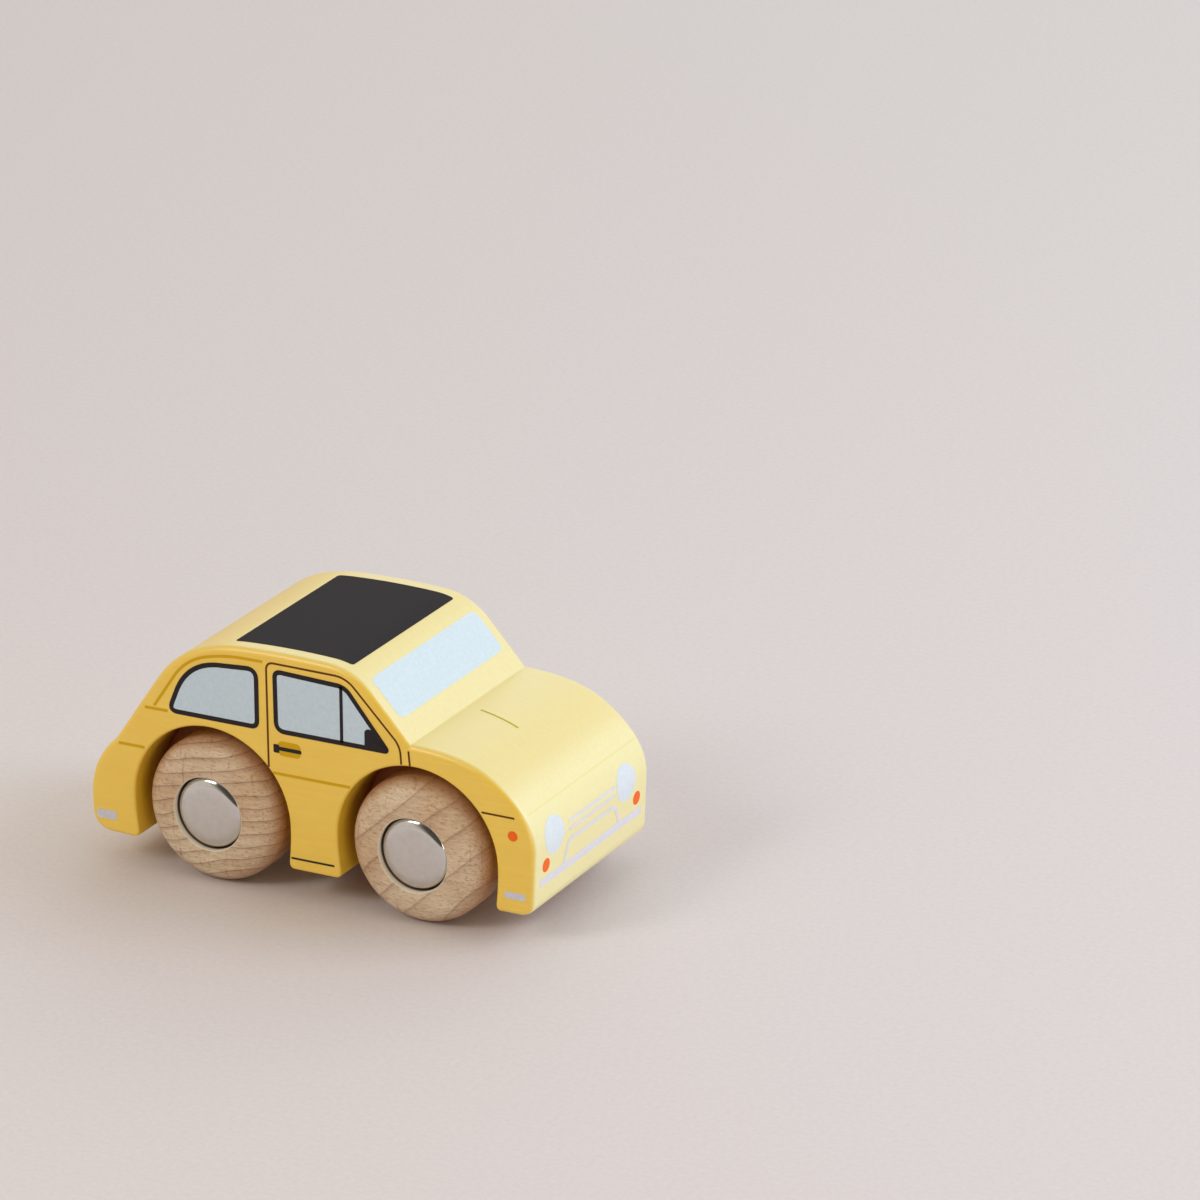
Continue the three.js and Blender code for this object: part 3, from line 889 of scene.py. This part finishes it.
# Slot, shape and layer of each area: the mirror, the handle's rest, root and grip, the front indicator
# and the ends of the two bumpers
SIDE_AREAS = (
    ("print_black", MIRROR, 2.4),
    ("print_mustard", rounded_box((-6.2, 29.75), (-1.15, 32.75), 1.1), 1),
    ("print_black", rounded_box((-7.2, 30.2), (-5.9, 31.95), 0.25), 2),
    ("print_black", rounded_box((-6.1, 30.78), (-0.95, 31.58), 0.4), 2.4),
    ("print_orange", circle((45.15, 22.45), 1.06), 1),
    ("print_silver", rounded_box((43.1, 9.4), (47.6, 10.85), 0.4), 1),
    ("print_silver", rounded_box((-48.4, 9.0), (-43.9, 10.9), 0.5), 1),
)

# Slot, y, z and radius of each round spot on the nose: the head lamps and the indicators
SPOTS = (
    ("print_lamp_lit", -14.8, 20.6, 3.8),
    ("print_lamp_lit", 13.8, 20.4, 3.8),
    ("print_orange", -18.2, 15.5, 1.4),
    ("print_orange", 18.2, 15.5, 1.4),
)

# Slot, middle and half width across the car, two places along it and corner of each panel: the front
# bumper, two plain grille bars, windscreen, sun roof, rear screen, tail lamps, rear bumper, blank plate
PANELS = (
    ("print_bar_lit", 0, 20.3, nose_way([11.5, 13.1]), 0.5),
    ("print_bar_lit", 0, 9.3, nose_way([19.18, 19.82]), 0.3),
    ("print_bar_lit", 0, 9.3, nose_way([20.78, 21.42]), 0.3),
    ("print_screen_lit", 0, 20.0, top_way([13.0, 19.7]), 1.5),
    ("print_black", 0, 19.55, top_way([-17.1, 9.1]), 0.7),
    ("print_screen_lit", 0, 16.5, tail_way([41.5, 31.5]), 2.4),
    ("print_orange", 18.0, 1.3, tail_way([21.5, 17.0]), 1.1),
    ("print_orange", -18.0, 1.3, tail_way([21.5, 17.0]), 1.1),
    ("print_silver", 0, 20.3, tail_way([11.2, 9.6]), 0.5),
    ("print_silver", 0, 5.2, tail_way([16.4, 13.6]), 0.5),
)

# Paths of (y, z) or, on the bonnet, (y, x): the bumper's guard, the bonnet's shut line and crease, the lid
GUARD = rounded([(-11.1, 12.9), (-9.3, 17.3), (9.3, 17.3), (11.1, 12.9)], (0, 1.8, 1.8, 0), closed=False)
SHUT_LINE = np.linspace((-21.2, 26.5), (21.2, 26.5), 9)
BONNET_CREASE = np.linspace((-1.0, 26.3), (-2.7, 35.4), 13)
LID = rounded([(-13.5, 13.0), (-12.2, 24.6), (12.2, 24.6), (13.5, 13.0)], (0, 2.5, 2.5, 0), closed=False)

# Slot, path, way that it is read by, width and layer of each band
BANDS = (
    ("print_bar_lit", GUARD, nose_way, 0.8, 1.4),
    ("print_shut", SHUT_LINE, nose_way, 0.45, 1),
    ("print_crease", BONNET_CREASE, top_way, 0.46, 1),
    ("print_mustard", LID, tail_way, 0.36, 1),
)


def print_all():
    """The ink on both sides, and on the nose, bonnet, windscreen, roof and tail."""
    for window in (QUARTER_WINDOW, DOOR_WINDOW):
        print_area("print_window", window)
        print_line("print_black", window, WINDOW_LINE, closed=True, layer=2)
    for slot, path, width, layer in SIDE_LINES:
        print_line(slot, path, width, layer=layer)
    for slot, shape, layer in SIDE_AREAS:
        print_area(slot, shape, layer)
    for slot, y, z, radius in SPOTS:
        centre = nose_way(z)
        print_panel(slot, y, radius, (centre - radius, centre + radius), radius)
    for panel in PANELS:
        print_panel(*panel)
    for slot, path, read, width, layer in BANDS:
        print_band(slot, np.column_stack([path[:, 0], read(path[:, 1])]), width, layer)


def facing_out(points, faces):
    """The faces, turned round if the first one's normal, which is the sum of the cross products of its
    neighbouring corners about their mean, points into the block."""
    heart = np.array([0, 0, axle_z + HEART_RISE])
    corners = points[faces[0]] - points[faces[0]].mean(axis=0)
    normal = np.cross(corners, np.roll(corners, -1, axis=0)).sum(axis=0)
    return faces[:, ::-1] if normal @ (points.mean(axis=0) - heart) < 0 else faces


def add_prints():
    """Joins the sheets of each ink into one thin closed film that rides on the block."""
    print_all()
    for slot, parts in sheets.items():
        faces, start = [], 0
        for points, part_faces in parts:
            faces.extend((facing_out(points, part_faces) + start).tolist())
            start += len(points)
        film_points = np.vstack([points for points, _ in parts])
        film = add_piece(f"{slot}_film", film_points, faces, INKS[slot], close=False)
        solid = film.modifiers.new("ink_depth", "SOLIDIFY")
        solid.thickness = LIFT * FILM_SHARE * MM
        solid.offset = -1
        mount(film, "car_body", INK_SLOTS.get(slot, slot))


# Studio
FLOOR_REACH = 6000.0
FLOOR_SHADES = ((0.3, (217, 208, 207)), (0.7, (223, 214, 213)))
SKY = (1.0, 0.925, 0.805)
SKY_STRENGTH = 0.69
DARK_SPOT = (0.28, -0.87, 0.40)  # direction of a dark wall that the bright caps mirror
DARK_SPOT_REACH = (0.68, 0.92)  # cosines of its outer and inner edge
DARK_SPOT_SHARE = 0.12  # of the sky's strength that is left in it
AIM = (0, 0, 0.025)  # the middle of the car, in metres

# Place in metres, size in metres, power and colour of each lamp
STUDIO_LAMPS = {
    "window": ((0.8, 0.35, 0.55), (0.6, 0.6), 3.9, (0.84, 1.0, 1.28)),
    "back": ((-0.05, 1.25, 0.62), (1.7, 0.8), 4.3, (0.78, 1.0, 1.16)),
    "fill": ((-0.5, -0.8, 0.75), (0.4, 0.4), 3.3, (1.02, 1.0, 0.95)),
    "side": ((0.75, -0.62, 0.12), (0.4, 0.2), 1.4, (1.0, 0.95, 0.8)),
}


def add_floor():
    """A plain pale floor with a very faint tooth."""
    material, tree, surface = shader("pale_floor")
    tooth = noise(tree, object_points(tree), scale=900, detail=3)
    tree.links.new(tint(tree, tooth, *FLOOR_SHADES), surface.inputs["Base Color"])
    surface.inputs["Roughness"].default_value = 0.8
    bump(tree, surface, tooth, strength=0.15, depth=0.0002)
    across = np.linspace(-FLOOR_REACH, FLOOR_REACH, 3)
    points = np.stack(np.meshgrid(across, across, [0.0], indexing="ij"), axis=-1)
    floor = add_piece("floor", points, grid_faces(3, 3)[:, ::-1], material, close=False)


def add_light(name, place, size, power, colour):
    """A soft rectangular lamp that faces the middle of the car."""
    lamp = bpy.data.lights.new(name, "AREA")
    lamp.shape = "RECTANGLE"
    lamp.size, lamp.size_y = size
    lamp.energy = power
    lamp.color = colour
    light = bpy.data.objects.new(name, lamp)
    light.location = place
    aim = Vector(AIM) - Vector(place)
    light.rotation_euler = aim.to_track_quat("-Z", "Y").to_euler()
    light.visible_camera = False
    bpy.context.scene.collection.objects.link(light)


def add_studio():
    """Even warm light from all round with a dark spot, a cool soft window to the right, a wide one
    behind, a small one above the near side and a low one off the near front corner."""
    world = bpy.data.worlds.new("studio")
    bpy.context.scene.world = world
    world.use_nodes = True
    tree = world.node_tree
    direction = add_node(tree, "ShaderNodeTexCoord").outputs["Generated"]
    towards = add_node(tree, "ShaderNodeVectorMath", {"operation": "DOT_PRODUCT"})
    tree.links.new(direction, towards.inputs[0])
    towards.inputs[1].default_value = Vector(DARK_SPOT).normalized()
    strengths = (SKY_STRENGTH, SKY_STRENGTH * DARK_SPOT_SHARE)
    spot = map_range(tree, towards.outputs["Value"], DARK_SPOT_REACH, strengths, "SMOOTHSTEP")
    background = tree.nodes["Background"]
    background.inputs["Color"].default_value = (*SKY, 1)
    tree.links.new(spot, background.inputs["Strength"])
    for name, lamp in STUDIO_LAMPS.items():
        add_light(name, *lamp)


SENSOR_WIDTH = 36
CAMERA_FOCUS = 6500 / 1200 * SENSOR_WIDTH  # 6500 points of a picture 1200 points wide
CAMERA_TURN = (-28.783, 21.207, -1.085)  # azimuth, elevation and roll in degrees
CAMERA_OFFSET = (-44.10, -51.136, 1275.25)  # of the camera's own frame: right, up and ahead
CAMERA_ORIGIN_X = 0.9  # where that frame's origin lies along the car
CAMERA_REACH = 50  # metres


def add_camera():
    """The camera, turned by azimuth and elevation, rolled, and set back along its own axes."""
    azimuth, elevation, roll = (math.radians(angle) for angle in CAMERA_TURN)
    ahead = np.array(
        [
            math.cos(elevation) * math.sin(azimuth),
            math.cos(elevation) * math.cos(azimuth),
            -math.sin(elevation),
        ]
    )
    level = np.array([math.cos(azimuth), -math.sin(azimuth), 0])
    upright = np.cross(level, ahead)
    right = math.cos(roll) * level + math.sin(roll) * upright
    up = -math.sin(roll) * level + math.cos(roll) * upright
    place = -(np.array(CAMERA_OFFSET) @ np.stack([right, up, ahead]))
    place += np.array([CAMERA_ORIGIN_X, 0, 0])
    data = bpy.data.cameras.new("camera")
    data.lens = CAMERA_FOCUS
    data.sensor_width = SENSOR_WIDTH
    data.clip_end = CAMERA_REACH
    camera = bpy.data.objects.new("camera", data)
    axes = np.stack([right, up, -ahead], axis=1)
    camera.matrix_world = Matrix.Translation(place * MM) @ Matrix(axes.tolist()).to_4x4()
    bpy.context.scene.collection.objects.link(camera)
    bpy.context.scene.camera = camera


add_camera()
add_studio()
add_floor()
mount(add_block(), "car_body", "body_paint", "body_block")
add_wheels()
dress_solids()
add_prints()

bpy.context.scene.view_settings.view_transform = "Standard"
